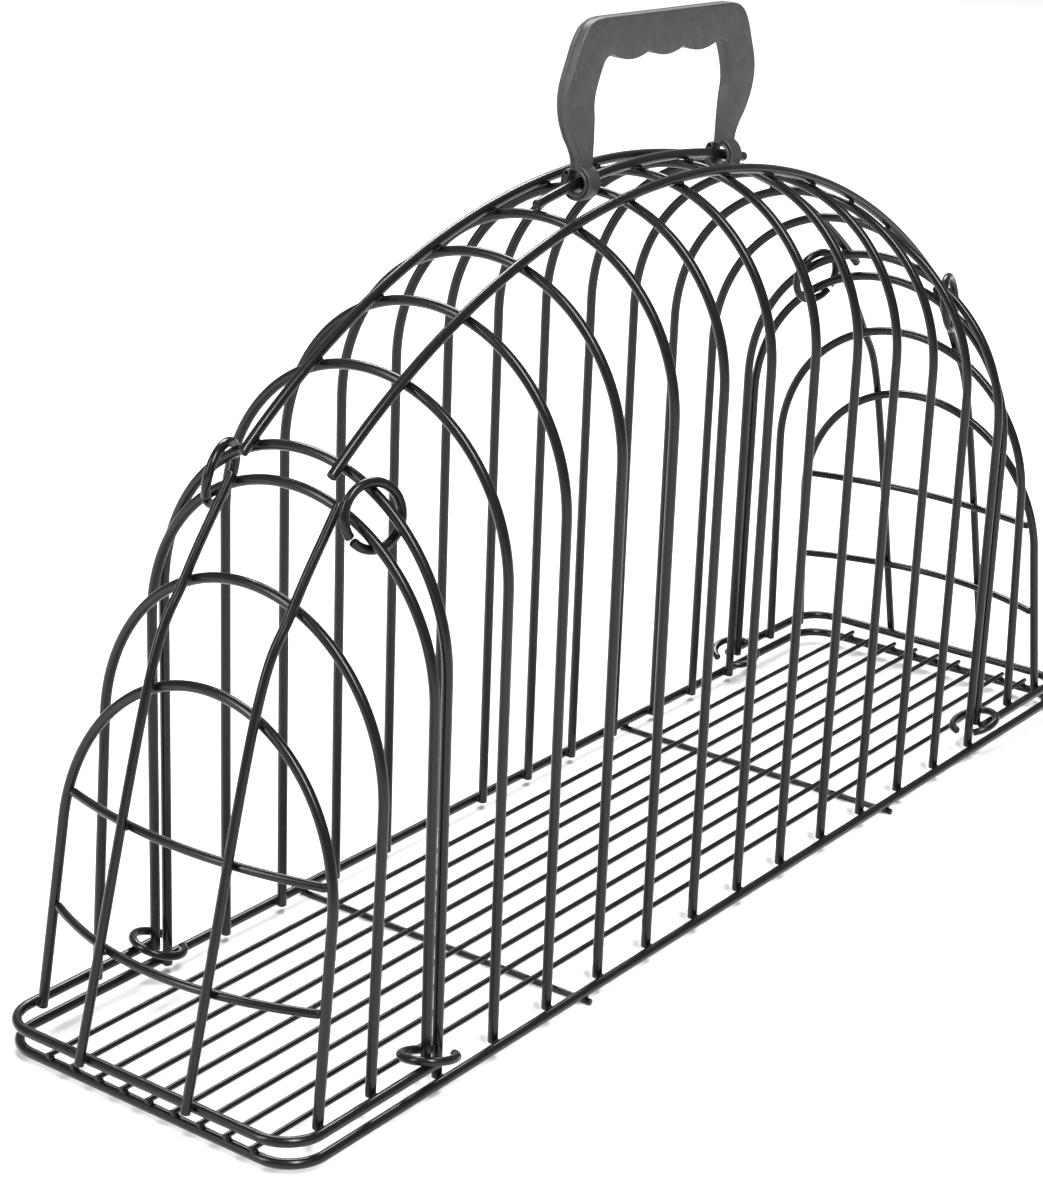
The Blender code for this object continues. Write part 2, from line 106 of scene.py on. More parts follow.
def cutCorners(points, rounds):
    # each round puts two points on every piece of the line, a quarter in from its ends, so the line gets
    # rounder and never leaves the space between the points it started from
    for _ in range(rounds):
        quarter = points[:-1] * 0.75 + points[1:] * 0.25
        threeQuarter = points[:-1] * 0.25 + points[1:] * 0.75
        inside = np.stack([quarter, threeQuarter], axis=1).reshape(-1, points.shape[1])
        points = np.vstack([points[:1], inside, points[-1:]])
    return points


def gridFaces(rows, columns, rowsClosed, start=0):
    # quads of a grid whose columns close on themselves, and whose rows may
    i = np.arange(rows if rowsClosed else rows - 1)[:, None]
    j = np.arange(columns)[None, :]
    nextI, nextJ = (i + 1) % rows, (j + 1) % columns
    quads = np.stack([i * columns + j, i * columns + nextJ, nextI * columns + nextJ, nextI * columns + j], -1)
    return quads.reshape(-1, 4) + start


def makeMesh(name, points, quads, tris=None):
    mesh = bpy.data.meshes.new(name)
    tris = np.zeros((0, 3), int) if tris is None else tris
    loops = np.concatenate([quads.ravel(), tris.ravel()]).astype(np.int32)
    sizes = np.concatenate([np.full(len(quads), 4), np.full(len(tris), 3)]).astype(np.int32)
    mesh.vertices.add(len(points))
    mesh.vertices.foreach_set("co", np.asarray(points, np.float32).ravel())
    mesh.loops.add(len(loops))
    mesh.loops.foreach_set("vertex_index", loops)
    mesh.polygons.add(len(sizes))
    mesh.polygons.foreach_set("loop_start", np.concatenate([[0], np.cumsum(sizes)[:-1]]).astype(np.int32))
    mesh.polygons.foreach_set("loop_total", sizes)
    mesh.polygons.foreach_set("use_smooth", np.ones(len(sizes), bool))
    mesh.update(calc_edges=True)
    mesh.validate()
    piece = bpy.data.objects.new(name, mesh)
    bpy.context.collection.objects.link(piece)
    return piece


def wireSurface(path, radius, side, closed=False, around=20, edge=0.3):
    # a circle carried along the path; side fixes where the circle starts. An open end is a flat cut with a
    # rounded edge: over a quarter turn the circle moves in by soft x (1 - cosine) from the end while its radius
    # grows by soft x sine up to the wire's own.
    if closed:
        along = unit(np.roll(path, -1, axis=0) - np.roll(path, 1, axis=0))
        centres, radii = path, np.full(len(path), radius)
    else:
        along = unit(np.gradient(path, axis=0))
        soft = edge * radius
        turn = np.linspace(0, math.pi / 2, 6)
        moveIn, capRadii = soft * (1 - np.cos(turn))[:, None], radius - soft * (1 - np.sin(turn))
        keep = (np.linalg.norm(path - path[0], axis=1) > soft) & (np.linalg.norm(path - path[-1], axis=1) > soft)
        centres = np.vstack([path[0] + along[0] * moveIn, path[keep], path[-1] - along[-1] * moveIn[::-1]])
        radii = np.concatenate([capRadii, np.full(keep.sum(), radius), capRadii[::-1]])
        along = np.vstack([np.tile(along[0], (6, 1)), along[keep], np.tile(along[-1], (6, 1))])
    first = unit(side - along * (along @ side)[:, None])
    second = np.cross(along, first)
    angle = np.linspace(0, 2 * math.pi, around, endpoint=False)
    ring = np.cos(angle)[None, :, None] * first[:, None] + np.sin(angle)[None, :, None] * second[:, None]
    points = (centres[:, None] + ring * radii[:, None, None]).reshape(-1, 3)
    quads = gridFaces(len(centres), around, closed)
    if closed:
        return points, quads, None
    j = np.arange(around)
    last = (len(centres) - 1) * around
    hub = len(points)
    tris = np.vstack([np.stack([(j + 1) % around, j, np.full(around, hub)], 1),
                      np.stack([last + j, last + (j + 1) % around, np.full(around, hub + 1)], 1)])
    return np.vstack([points, centres[:1], centres[-1:]]), quads, tris


print("tools ready")


# finishes
coatingLook = {
    "deep": "#0b0a0a", "warm": "#14110f",   # the coating's two close blacks
    "roughness": 0.20, "roughnessSpread": 0.08,
    "ripple": 0.9 * mm, "rippleDepth": 0.020 * mm,   # slow waves of a dip-thick coating
    "grain": 0.22 * mm, "grainDepth": 0.0035 * mm,   # orange peel, drawn as coarse as it needs to show
}


def powderCoatedWire():
    # Steel wire with a baked semi-gloss black powder coat: crisp thin highlights along each wire that waver
    # a little with the coat's thickness, and a faint orange peel close up.
    look = coatingLook
    material = bpy.data.materials.new("powderCoatedWire")
    material.use_nodes = True
    tree = material.node_tree
    shader = tree.nodes["Principled BSDF"]
    place = addNode(tree, "ShaderNodeTexCoord").outputs["Object"]
    cloud = addNode(tree, "ShaderNodeTexNoise", Vector=place, Scale=1 / (35 * mm), Detail=3.0)
    colour = addNode(tree, "ShaderNodeMix", {"data_type": "RGBA"}, Factor=cloud.outputs["Fac"],
                     n6=toLinear(look["deep"]), n7=toLinear(look["warm"]))
    tree.links.new(colour.outputs[2], shader.inputs["Base Color"])
    rub = addNode(tree, "ShaderNodeTexNoise", Vector=place, Scale=1 / (6 * mm), Detail=5.0, Roughness=0.65)
    gloss = addNode(tree, "ShaderNodeMapRange", Value=rub.outputs["Fac"], From_Min=0.3, From_Max=0.75,
                    To_Min=look["roughness"], To_Max=look["roughness"] + look["roughnessSpread"])
    tree.links.new(gloss.outputs["Result"], shader.inputs["Roughness"])
    ripple = addNode(tree, "ShaderNodeTexNoise", Vector=place, Scale=1 / look["ripple"] / 4, Detail=2.0)
    grain = addNode(tree, "ShaderNodeTexNoise", Vector=place, Scale=1 / look["grain"], Detail=1.0)
    wave = addNode(tree, "ShaderNodeBump", Height=ripple.outputs["Fac"], Distance=look["rippleDepth"], Strength=1.0)
    peel = addNode(tree, "ShaderNodeBump", Height=grain.outputs["Fac"], Distance=look["grainDepth"], Strength=1.0,
                   Normal=wave.outputs["Normal"])
    tree.links.new(peel.outputs["Normal"], shader.inputs["Normal"])
    shader.inputs["IOR"].default_value = 1.5
    shader.inputs["Specular IOR Level"].default_value = 0.30
    return material


plasticLook = {
    "body": "#303033", "pale": "#39393c",
    "roughness": 0.46, "roughnessSpread": 0.10,
    "grain": 0.45 * mm, "grainDepth": 0.020 * mm,    # spark-eroded mould grain
    "scuff": 5.0 * mm,
}


def mouldedPolypropylene():
    # Injection-moulded polypropylene from a lightly grained mould: a soft broad sheen, fine even grain and
    # slightly paler rubbed patches.
    look = plasticLook
    material = bpy.data.materials.new("mouldedPolypropylene")
    material.use_nodes = True
    tree = material.node_tree
    shader = tree.nodes["Principled BSDF"]
    place = addNode(tree, "ShaderNodeTexCoord").outputs["Object"]
    rub = addNode(tree, "ShaderNodeTexNoise", Vector=place, Scale=1 / look["scuff"], Detail=6.0, Roughness=0.6)
    patch = addNode(tree, "ShaderNodeMapRange", Value=rub.outputs["Fac"], From_Min=0.42, From_Max=0.68)
    colour = addNode(tree, "ShaderNodeMix", {"data_type": "RGBA"}, Factor=patch.outputs["Result"],
                     n6=toLinear(look["body"]), n7=toLinear(look["pale"]))
    tree.links.new(colour.outputs[2], shader.inputs["Base Color"])
    gloss = addNode(tree, "ShaderNodeMapRange", Value=rub.outputs["Fac"], From_Min=0.3, From_Max=0.7,
                    To_Min=look["roughness"] + look["roughnessSpread"], To_Max=look["roughness"])
    tree.links.new(gloss.outputs["Result"], shader.inputs["Roughness"])
    pit = addNode(tree, "ShaderNodeTexVoronoi", Vector=place, Scale=1 / look["grain"])
    skin = addNode(tree, "ShaderNodeBump", Height=pit.outputs["Distance"], Distance=look["grainDepth"], Strength=1.0)
    tree.links.new(skin.outputs["Normal"], shader.inputs["Normal"])
    shader.inputs["IOR"].default_value = 1.49
    return material


coating = powderCoatedWire()
plastic = mouldedPolypropylene()
print("finishes ready")


def finishPiece(name, surface, material, body, node=None):
    piece = makeMesh(name, *surface)
    piece.data.materials.append(material)
    if node:
        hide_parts(node)
    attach(piece, body)
    return piece


# hoops
hoopLook = {"wire": 4.2 * mm, "top": 73 * mm, "doorTop": 71 * mm, "spacing": 3.0 * mm, "around": 20}
acrossY = np.array([0.0, 1.0, 0.0])
alongX = np.array([1.0, 0.0, 0.0])
upZ = np.array([0.0, 0.0, 1.0])


def readHoop(node, top, leanSide=0):
    # foot and crown places, half width and height of a hoop, from its box; leanSide says which way it leans
    low, high = corners(node)
    flat = hoopLook["wire"] / 2 * flatShare
    hoop = {"foot": low[2], "half": high[1] - flat, "height": high[2] - flat, "top": top,
            "x": (low[0] + high[0]) / 2, "lean": 0.0, "splay": 0.0}
    if leanSide:
        hoop["x"] = low[0] + flat if leanSide > 0 else high[0] - flat
        other = high[0] - flat if leanSide > 0 else low[0] + flat
        hoop["lean"] = (other - hoop["x"]) / (hoop["height"] - hoop["foot"])
    return hoop


def hoopPoint(hoop, y):
    # the hoop's rounded top at y: the shoulder height plus an ellipse, moved by the lean
    half = hoop["half"] - hoop["splay"]
    z = hoop["height"] - hoop["top"] * (1 - np.sqrt(1 - (y / half) ** 2))
    return np.array([hoop["x"] + hoop["lean"] * (z - hoop["foot"]), y, z])


def hoopPath(hoop):
    # straight legs and a half ellipse between the shoulders
    shoulder = hoop["height"] - hoop["top"]
    half, halfTop = hoop["half"], hoop["half"] - hoop["splay"]
    turn = np.linspace(0, math.pi, 121)
    y = np.concatenate([[-half], -halfTop * np.cos(turn), [half]])
    z = np.concatenate([[hoop["foot"]], shoulder + hoop["top"] * np.sin(turn), [hoop["foot"]]])
    x = hoop["x"] + hoop["lean"] * (z - hoop["foot"])
    return evenly(np.stack([x, y, z], 1), hoopLook["spacing"])


def addHoop(name, node, hoop, body):
    surface = wireSurface(hoopPath(hoop), hoopLook["wire"] / 2, alongX, around=hoopLook["around"])
    return finishPiece(name, surface, coating, body, node)


cageHoops = [readHoop(f"hoop_{k:02d}", hoopLook["top"]) for k in range(1, 14)]
for k, hoop in enumerate(cageHoops):
    addHoop(f"cageHoop{k + 1:02d}", f"hoop_{k + 1:02d}", hoop, "cage")
print("cage hoops ready")


# base
baseLook = {"wire": 4.2 * mm, "corner": 16 * mm, "floorWire": 2.4 * mm, "crossWire": 3.0 * mm, "spacing": 4 * mm}


def cornerArc(centre, start, end, radius):
    turn = np.linspace(start, end, 25)
    return np.stack([centre[0] + radius * np.cos(turn), centre[1] + radius * np.sin(turn),
                     np.full(25, centre[2])], 1)


def addBaseRod():
    # a rounded rectangle: four quarter circles joined by straight runs
    low, high = corners("base_rod")
    flat = baseLook["wire"] / 2 * flatShare
    reach, half, z = high[0] - flat, high[1] - flat, (low[2] + high[2]) / 2
    bend = baseLook["corner"]
    arcs = [cornerArc((sx * (reach - bend), sy * (half - bend), z), start * math.pi / 2,
                      (start + 1) * math.pi / 2, bend)
            for start, (sx, sy) in enumerate(((1, 1), (-1, 1), (-1, -1), (1, -1)))]
    path = evenly(np.vstack(arcs), 2.0 * mm, closed=True)
    finishPiece("baseRod", wireSurface(path, baseLook["wire"] / 2, upZ, closed=True), coating, "cage", "base_rod")
    return reach, half, z


def addStraight(name, node, radius, direction, around=16):
    low, high = corners(node)
    middle, reach = (low + high) / 2, (high - low) @ direction / 2
    path = evenly(np.array([middle - reach * direction, middle + reach * direction]), baseLook["spacing"])
    finishPiece(name, wireSurface(path, radius, upZ, around=around), coating, "cage", node)
    return middle


railReach, railHalf, railZ = addBaseRod()
floorMiddles = [addStraight(f"floorWire{k:02d}", f"floor_wire_{k:02d}", baseLook["floorWire"] / 2, alongX)
                for k in range(1, 10)]
crossMiddles = [addStraight(f"crossWire{end.title()}", f"cross_wire_{end}",
                            baseLook["crossWire"] / 2 * flatShare, acrossY) for end in ("front", "rear")]
print("base ready")


# wires along the top
topLook = {"wire": 4.2 * mm, "gap": 0.3 * mm, "ridge": 20.5 * mm, "endFace": 0.9 * mm}
crownX = np.array([hoop["x"] for hoop in cageHoops])
crownZ = np.array([hoop["height"] for hoop in cageHoops])
domeSag = crownZ.max() - crownZ[-1]
domeRadius = (crownX[-1] ** 2 + domeSag ** 2) / (2 * domeSag)
domeDrop = crownZ.max() - domeRadius


def onHoopTops(x, y):
    # one wire off the hoop tops, along the normal of the surface that the hoops' crowns and ellipses make
    half, top = cageHoops[0]["half"], hoopLook["top"]
    z = domeDrop + np.sqrt(domeRadius ** 2 - x ** 2) - top * (1 - math.sqrt(1 - (y / half) ** 2))
    slopeX = -x / np.sqrt(domeRadius ** 2 - x ** 2)
    slopeY = -top * y / (half ** 2 * math.sqrt(1 - (y / half) ** 2))
    normal = unit(np.stack([-slopeX, np.full_like(x, -slopeY), np.ones_like(x)], 1))
    seat = np.stack([x, np.full_like(x, y), z], 1)
    rise = normal * (topLook["wire"] + topLook["gap"])
    return seat + rise, seat + rise / 2, normal


def addTopWire(name, node, y):
    # the ends of the CAD wire, moved in by what its end face adds, give the range of x
    low, high = corners(node)
    x = np.linspace(low[0] + topLook["endFace"], high[0] - topLook["endFace"], 400)
    path, _, _ = onHoopTops(x, y)
    finishPiece(name, wireSurface(evenly(path, 3 * mm), topLook["wire"] / 2, acrossY), coating, "cage", node)
    return low[0], high[0]


addTopWire("ridgeWireRight", "ridge_wire_right", -topLook["ridge"])
addTopWire("ridgeWireLeft", "ridge_wire_left", topLook["ridge"])
rodEnds = addTopWire("handleRod", "handle_rod", 0.0)
print("top wires ready")


# weld beads
beadLook = {"across": 1.5 * mm, "deep": 1.35 * mm, "rings": 8, "around": 12}


def beadSurface(centres, normals):
    # one small ellipsoid in each notch between two welded wires: across in the contact plane, deep along the
    # line between the two wires' centres
    look = beadLook
    centres, normals = np.atleast_2d(centres), unit(np.atleast_2d(normals))
    helper = np.where(np.abs(normals @ upZ)[:, None] > 0.9, alongX, upZ)
    first = unit(np.cross(normals, helper))
    second = np.cross(normals, first)
    polar = np.linspace(0, math.pi, look["rings"] + 2)[1:-1]
    angle = np.linspace(0, 2 * math.pi, look["around"], endpoint=False)
    flatPart = look["across"] * np.sin(polar)[:, None, None] * (
        np.cos(angle)[None, :, None] * first[:, None, None] + np.sin(angle)[None, :, None] * second[:, None, None])
    tall = look["deep"] * np.cos(polar)[None, :, None, None] * normals[:, None, None]
    shells = centres[:, None, None] + flatPart + tall
    poles = np.stack([centres + look["deep"] * normals, centres - look["deep"] * normals], 1)
    count, perShell = len(centres), look["rings"] * look["around"]
    quads = gridFaces(look["rings"], look["around"], False)[None] + (np.arange(count) * perShell)[:, None, None]
    j = np.arange(look["around"])
    nextJ = (j + 1) % look["around"]
    base = (np.arange(count) * perShell)[:, None]
    poleAt = count * perShell + 2 * np.arange(count)[:, None]
    upper = np.stack([base + nextJ, base + j, np.broadcast_to(poleAt, (count, len(j)))], -1)
    lastRow = perShell - look["around"]
    lower = np.stack([base + lastRow + j, base + lastRow + nextJ, np.broadcast_to(poleAt + 1, (count, len(j)))], -1)
    points = np.vstack([shells.reshape(-1, 3), poles.reshape(-1, 3)])
    return points, quads.reshape(-1, 4), np.vstack([upper.reshape(-1, 3), lower.reshape(-1, 3)])


def meet(places, normals):
    return np.array(places, float).reshape(-1, 3), np.array(normals, float).reshape(-1, 3)


def cageWelds():
    legs = cageHoops[0]["half"]
    side = (railHalf + legs) / 2
    places = [(x, s * side, railZ) for x in crownX for s in (-1, 1)]
    normals = [(0, 1, 0)] * len(places)
    floorZ = (floorMiddles[0][2] + railZ) / 2
    places += [(s * railReach, middle[1], floorZ) for middle in floorMiddles for s in (-1, 1)]
    places += [(middle[0], s * railHalf, (middle[2] + railZ) / 2) for middle in crossMiddles for s in (-1, 1)]
    normals += [(0, 0, 1)] * (len(places) - len(normals))
    for y in (-topLook["ridge"], topLook["ridge"]):
        _, between, up = onHoopTops(crownX, y)
        places, normals = places + between.tolist(), normals + up.tolist()
    held = crownX[(crownX > rodEnds[0] - 1 * mm) & (crownX < rodEnds[1])]
    _, between, up = onHoopTops(held, 0.0)
    return meet(places + between.tolist(), normals + up.tolist())


finishPiece("cageWeldBeads", beadSurface(*cageWelds()), coating, "cage")
print("cage welds ready")


# doors
doorLook = {"wire": 4.2 * mm, "crossbar": 3.6 * mm, "gap": 0.3 * mm, "corner": 16 * mm,
            "barFoot": 27.2 * mm, "barTop": 26.2 * mm, "barDrop": 2.2 * mm,
            "middleSplay": 1 * mm, "smallSplay": 3 * mm, "endBead": 0.4 * mm}


def addDoorRod(name, node, side, body):
    # a U: two straight runs and two quarter circles
    low, high = corners(node)
    flat = doorLook["wire"] / 2 * flatShare
    reach = max(abs(low[0]), abs(high[0])) - flat
    inner = min(abs(low[0]), abs(high[0]))
    half, z, bend = high[1] - flat, (low[2] + high[2]) / 2, doorLook["corner"]
    right = cornerArc((reach - bend, -half + bend, z), -math.pi / 2, 0, bend)
    left = cornerArc((reach - bend, half - bend, z), 0, math.pi / 2, bend)
    path = np.vstack([[(inner, -half, z)], right, left, [(inner, half, z)]])
    path[:, 0] *= side
    finishPiece(name, wireSurface(evenly(path, 2 * mm), doorLook["wire"] / 2, upZ), coating, body, node)
    return reach, half, z


def barPath(side, hand, hoops, rod):
    # on the outside of the base rod and of the small, middle and outer hoop, one wire off each along the normal
    # of the slope there, and carried on straight past both ends
    pitch = doorLook["wire"] + doorLook["gap"]
    places = np.vstack([[rod[0], hand * doorLook["barFoot"], rod[2]],
                        [hoopPoint(hoop, hand * doorLook["barTop"]) * (side, 1, 1) for hoop in hoops]])
    slope = places[[1, 2, 3, 3]] - places[[0, 0, 1, 2]]
    outward = unit(np.stack([slope[:, 2], np.zeros(4), -slope[:, 0]], 1))
    path = cutCorners(throughKnots(places + outward * pitch, 8), 3)
    foot = path[:1] + unit(path[:1] - path[1:2]) * doorLook["barDrop"]
    tip = path[-1:] + unit(path[-1:] - path[-2:-1]) * doorLook["wire"] / 2
    mirror = np.array([side, 1, 1])
    return np.vstack([foot, path, tip]) * mirror, (places + outward * pitch / 2) * mirror, outward * mirror


def addDoor(end, side):
    body = f"{end}_door"
    name = f"{end}Door"
    rod = addDoorRod(f"{name}BaseRod", f"{end}_door_base_rod", side, body)
    outer = readHoop(f"{end}_door_outer_hoop", hoopLook["doorTop"])
    middle = readHoop(f"{end}_door_middle_hoop", hoopLook["doorTop"], -side)
    small = readHoop(f"{end}_door_small_hoop", hoopLook["doorTop"], -side)
    middle["splay"], small["splay"] = doorLook["middleSplay"], doorLook["smallSplay"]
    for word, hoop in (("Outer", outer), ("Middle", middle), ("Small", small)):
        addHoop(f"{name}{word}Hoop", f"{end}_door_{word.lower()}_hoop", hoop, body)
    places, normals = [], []
    bars = {}
    for hand, sign in (("right", -1), ("left", 1)):
        path, contacts, across = barPath(side, sign, (small, middle, outer), rod)
        # the whole bar moves in, against the hoops it is welded to, by what it would reach past its solid
        solidReach = np.abs(corners(f"{end}_door_bar_{hand}")).max(axis=0)[0]
        over = np.abs(path[:, 0]).max() + doorLook["wire"] / 2 * flatShare - solidReach
        path[:, 0] -= side * max(over, 0.0)
        bars[hand] = path
        surface = wireSurface(evenly(path, 2.5 * mm), doorLook["wire"] / 2 * flatShare, acrossY)
        finishPiece(f"{name}Bar{hand.title()}", surface, coating, body, f"{end}_door_bar_{hand}")
        places += contacts.tolist()
        normals += across.tolist()
    for level in ("lower", "upper"):
        # a parabola: the ends stay at the small hoop's legs and the middle bows out by the box's depth
        node = f"{end}_door_crossbar_{level}"
        low, high = corners(node)
        thin = doorLook["crossbar"] / 2
        z, half = (low[2] + high[2]) / 2, high[1]
        ends = side * (min(abs(low[0]), abs(high[0])) + thin * flatShare)
        bowed = side * (max(abs(low[0]), abs(high[0])) - thin * flatShare)
        t = np.linspace(-1, 1, 120)
        path = np.stack([ends + (bowed - ends) * (1 - t ** 2), half * t, np.full(120, z)], 1)
        finishPiece(f"{name}Crossbar{level.title()}", wireSurface(evenly(path, 2.5 * mm), thin, upZ), coating,
                    body, node)
        barX = np.interp(z, bars["right"][:, 2], bars["right"][:, 0])
        for sign in (-1, 1):
            places.append((ends, sign * (half + doorLook["endBead"]), z))
            normals.append((0, 1, 0))
            places.append((barX - side * (doorLook["wire"] + doorLook["gap"]) / 2, sign * doorLook["barTop"], z))
            normals.append((1, 0, 0))
    for hoop in (outer, middle, small):
        for sign in (-1, 1):
            places.append((hoop["x"], sign * (rod[1] + hoop["half"]) / 2, rod[2]))
            normals.append((0, 1, 0))
    finishPiece(f"{name}WeldBeads", beadSurface(*meet(places, normals)), coating, body)
    return outer, rod


doors = {end: addDoor(end, side) for end, side in (("front", -1), ("rear", 1))}
doorHoops = {end: door[0] for end, door in doors.items()}
doorRods = {end: door[1] for end, door in doors.items()}
print("doors ready")


# rings
ringLook = {"wire": 3.8 * mm, "hingeRadius": 12.4 * mm, "lockRadius": 10.8 * mm, "place": 37.2 * mm,
            "twist": math.radians(20), "split": 1.6 * mm, "splitTurn": math.radians(25),
            "mouth": 9.0 * mm, "shift": 1.8 * mm, "free": 0.5 * mm,
            "tilt": math.radians(17), "fall": math.radians(36)}


def ringPath(centre, radius, u, v, opening):
    # a circle in the plane of u and v with an opening centred on u
    turn = np.linspace(opening / 2, 2 * math.pi - opening / 2, 90)
    return centre + radius * (np.cos(turn)[:, None] * u + np.sin(turn)[:, None] * v)


def addHingeRing(end, side, hand, sign):
    look = ringLook
    y = sign * look["place"]
    cageSide = hoopPoint(cageHoops[0 if side < 0 else -1], y)
    doorSide = hoopPoint(doorHoops[end], y)
    across = unit(cageSide - doorSide)
    square = np.cross(across, (0, -side, 0))
    twisted = square * math.cos(look["twist"]) - np.array([0, sign, 0]) * math.sin(look["twist"])
    a = look["splitTurn"]
    u = twisted * math.sin(a) - across * math.cos(a)
    v = twisted * math.cos(a) + across * math.sin(a)
    path = ringPath((cageSide + doorSide) / 2, look["hingeRadius"], u, v, look["split"] / look["hingeRadius"])
    finishPiece(f"{end}HingeRing{hand.title()}", wireSurface(path, look["wire"] / 2, unit(np.cross(u, v))), coating,
                "cage", f"{end}_door_hinge_ring_{hand}")


def addLockRing(end, side, hand, sign):
    # the ring rests on the door's base rod where it crosses it and slopes down and inwards from there: each
    # direction loses (1 - cosine) of its part along the slope and drops by the sine of that part
    look = ringLook
    leg, outer, rod = cageHoops[0]["half"], doorHoops[end], doorRods[end]
    fall = np.array([-side * math.cos(look["fall"]), -sign * math.sin(look["fall"]), 0])
    over = sign * (rod[1] - leg)
    crossing = np.array([side * math.sqrt(look["lockRadius"] ** 2 - over ** 2), over, 0])
    z = rod[2] + (doorLook["wire"] + look["wire"]) / 2 + look["free"] + crossing @ fall * math.tan(look["tilt"])
    centre = np.array([(cageHoops[0 if side < 0 else -1]["x"] + outer["x"]) / 2 + side * look["shift"], sign * leg, z])
    slope = (math.cos(look["tilt"]) - 1) * fall - math.sin(look["tilt"]) * upZ
    u, v = (axis + (axis @ fall) * slope for axis in (-side * alongX, -side * acrossY))
    opening = 2 * math.asin(look["mouth"] / 2 / look["lockRadius"])
    path = ringPath(centre, look["lockRadius"], u, v, opening)
    surface = wireSurface(path, look["wire"] / 2 * flatShare, unit(np.cross(u, v)))
    finishPiece(f"{end}LockRing{hand.title()}", surface, coating, f"{end}_lock_{hand}", f"{end}_door_lock_ring_{hand}")


for end, side in (("front", -1), ("rear", 1)):
    for hand, sign in (("right", -1), ("left", 1)):
        addHingeRing(end, side, hand, sign)
        addLockRing(end, side, hand, sign)
print("rings ready")


# handle
handleLook = {
    "thick": 6.4 * mm, "edge": 1.2 * mm, "eyeLength": 8 * mm, "eyeSpacing": 106.2 * mm,
    "bore": 4.2 * mm, "wall": 3.2 * mm, "lobePitch": 25.2 * mm, "lobeDepth": 2.8 * mm, "lobeTop": 50.2 * mm,
    "grooveDeep": 0.45 * mm, "grooveWide": 1.1 * mm, "groovePlace": 0.9 * mm,
    "flatPlaces": (-1.7, -1.1, 0.0),      # mm across the outer face, beside the groove
    "eyeEdge": 0.6 * mm, "eyeStart": -260, "eyeEnd": 36,      # the hook's angles in degrees
    # right half, from the foot up: outer edge and inner edge, u from the middle and w above the eyes, in mm
    "outer": [(57.1, 5.0), (58.3, 10.0), (60.9, 14.5), (64.3, 19.0), (68.0, 26.5), (69.4, 34.5),
              (68.3, 41.5), (64.8, 50.0), (61.6, 57.0), (57.6, 62.2), (52.6, 64.9), (46.5, 65.8)],
    "inner": [(49.1, 5.0), (49.1, 9.5), (49.1, 15.0), (49.2, 20.0), (49.5, 25.5), (50.3, 31.0),
              (49.9, 35.5), (48.5, 40.0), (46.9, 44.0), (45.1, 47.4), (43.2, 49.3), (40.6, 50.2)],
}


def bladeEdges():
    # both edges from one foot over the grip to the other. Along the grip the underside is a row of finger
    # lobes: the cusp height less the depth times the size of a sine with half the lobe pitch as its period.
    look = handleLook
    outer = throughKnots(np.array(look["outer"]) * mm, 12)
    inner = throughKnots(np.array(look["inner"]) * mm, 12)
    t = np.linspace(1, -1, 150)[1:-1]
    underU = t * inner[-1, 0]
    cusp = 1.5 * look["lobePitch"]
    wave = np.abs(np.cos(math.pi * underU / look["lobePitch"]))
    lobes = look["lobeTop"] - look["lobeDepth"] * wave ** 0.85 * (np.abs(underU) < cusp)
    under = np.stack([underU, lobes], 1)
    over = np.stack([t * outer[-1, 0], np.full(len(t), outer[-1, 1])], 1)
    mirror = np.array([-1, 1])
    return (np.vstack([outer, over, outer[::-1] * mirror]), np.vstack([inner, under, inner[::-1] * mirror]))


def bladeProfile():
    # rounded rectangle, counter-clockwise. The first value runs -1 inside to +1 outside, with a distance to add
    # in metres; the second is y. The outer face carries a shallow groove.
    look = handleLook
    half, edge = look["thick"] / 2, look["edge"]
    turn = np.linspace(0, math.pi / 2, 7)
    flatY = np.array(look["flatPlaces"]) * mm
    g, w, d = look["groovePlace"], look["grooveWide"] / 2, look["grooveDeep"]
    grooveY = np.array([g - w - 0.2 * mm, g - w, g + w, g + w + 0.2 * mm])
    grooveX = np.array([0, -d, -d, 0])
    share = np.concatenate([np.ones(7), np.ones(len(grooveY) + len(flatY)), np.ones(7), -np.ones(14)])
    shift = np.concatenate([-edge + edge * np.sin(turn), np.zeros(len(flatY)), grooveX,
                            -edge + edge * np.cos(turn), edge - edge * np.sin(turn), edge - edge * np.cos(turn)])
    y = np.concatenate([-half + edge - edge * np.cos(turn), flatY, grooveY,
                        half - edge + edge * np.sin(turn), half - edge + edge * np.cos(turn),
                        -half + edge - edge * np.sin(turn)])
    return share, shift, y


def bladeSurface(toWorld):
    outer, inner = bladeEdges()
    across = outer - inner
    width = np.linalg.norm(across, axis=1, keepdims=True)
    middle, direction = (outer + inner) / 2, across / width
    share, shift, y = bladeProfile()
    reach = share[None, :] * width / 2 + shift[None, :]
    u = middle[:, :1] + direction[:, :1] * reach
    w = middle[:, 1:] + direction[:, 1:] * reach
    points = toWorld(u, np.broadcast_to(y, u.shape), w).reshape(-1, 3)
    rows, columns = u.shape
    quads = gridFaces(rows, columns, False)
    hub = len(points)
    j = np.arange(columns)
    last = (rows - 1) * columns
    tris = np.vstack([np.stack([(j + 1) % columns, j, np.full(columns, hub)], 1),
                      np.stack([last + j, last + (j + 1) % columns, np.full(columns, hub + 1)], 1)])
    ends = np.stack([points[:columns].mean(0), points[last:last + columns].mean(0)])
    return np.vstack([points, ends]), quads, tris


